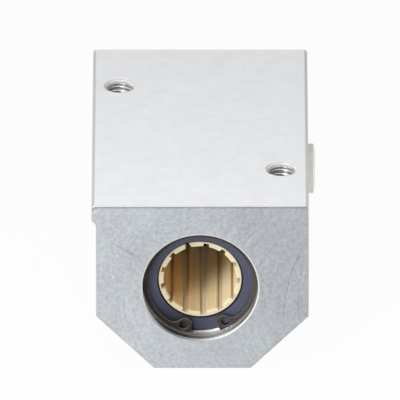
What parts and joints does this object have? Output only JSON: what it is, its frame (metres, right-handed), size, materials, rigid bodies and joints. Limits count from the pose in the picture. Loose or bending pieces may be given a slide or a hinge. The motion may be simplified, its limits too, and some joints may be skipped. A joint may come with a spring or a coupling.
{
  "type": "linear bearing block",
  "caption": "Closed aluminium block that slides along a round shaft on a tandem pair of plain polymer-lined bearings and bolts under a carriage plate by its flat top.",
  "frame": {"origin": "on the bore axis, half way along the block", "axes": "+Y along the bore towards the rear end, +X to the side with the oil port plug, +Z to the mounting face"},
  "size_m": [0.062, 0.1, 0.05],
  "materials": {
    "clear_anodised_aluminium": "satin, clear anodised; milled end faces",
    "dark_anodised_aluminium": "satin, dark hard anodised",
    "liner_polymer": "matt, moulded",
    "spring_steel": "dark phosphated",
    "plug_plastic": "satin, moulded"
  },
  "bodies": {
    "root": {"housing_block": "clear_anodised_aluminium", "front_sleeve": "dark_anodised_aluminium", "rear_sleeve": "dark_anodised_aluminium", "front_liner": "liner_polymer", "rear_liner": "liner_polymer", "front_circlip": "spring_steel", "rear_circlip": "spring_steel", "side_plug": "plug_plastic"}
  },
  "joints": []
}
